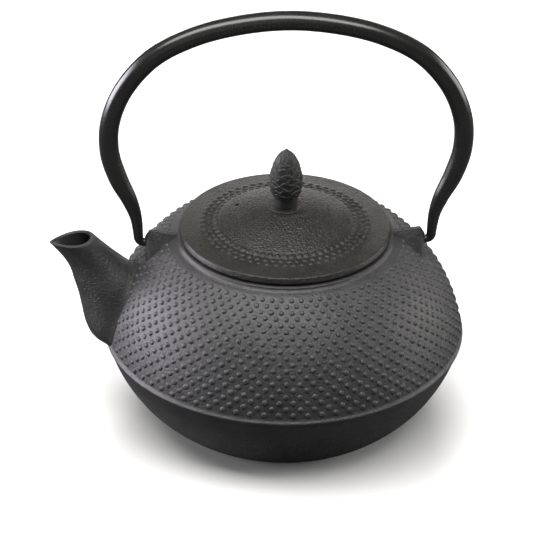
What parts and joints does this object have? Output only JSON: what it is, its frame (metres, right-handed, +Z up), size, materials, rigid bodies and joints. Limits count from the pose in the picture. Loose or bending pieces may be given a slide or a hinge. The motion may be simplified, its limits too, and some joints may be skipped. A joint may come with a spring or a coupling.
{
  "type": "teapot",
  "caption": "Cast-iron teapot with a studded shoulder, drop-in domed lid with a cone knob, swinging bail handle, side spout and a lift-out infuser basket.",
  "frame": {"origin": "centre of the flat base, on the vessel's axis", "axes": "+Z up along the vessel's axis, spout towards -X, the bail's pivot axis along X, +Y to the back"},
  "size_m": [0.2081, 0.18, 0.2205],
  "materials": {
    "vessel_iron": "matte black sand-cast iron with a fine grain",
    "lid_iron": "matte black sand-cast iron, pebbled dome",
    "knob_iron": "matte black cast iron",
    "bail_black": "satin black lacquered steel",
    "steel_hardware": "plain steel",
    "stainless": "satin stainless steel, perforated"
  },
  "bodies": {
    "vessel": {"vessel_body": "vessel_iron", "spout": "vessel_iron", "ear_left": "vessel_iron", "ear_right": "vessel_iron"},
    "handle": {"bail": "bail_black"},
    "infuser": {"infuser_rim": "stainless", "infuser_wall": "stainless", "infuser_band": "stainless", "infuser_floor": "stainless"},
    "lid": {"lid_plate": "lid_iron", "knob": "knob_iron", "knob_screw": "steel_hardware", "knob_washer": "steel_hardware"}
  },
  "joints": [
    {"name": "bail_swing", "type": "hinge", "parent": "vessel", "child": "handle", "pos_m": [0, 0, 0.0942], "axis": [1, 0, 0], "range_deg": [-120, 120]},
    {"name": "infuser_lift", "type": "slide", "parent": "vessel", "child": "infuser", "axis": [0, 0, 1], "range_m": [0, 0.06]},
    {"name": "lid_lift", "type": "slide", "parent": "infuser", "child": "lid", "axis": [0, 0, 1], "range_m": [0, 0.06]}
  ]
}
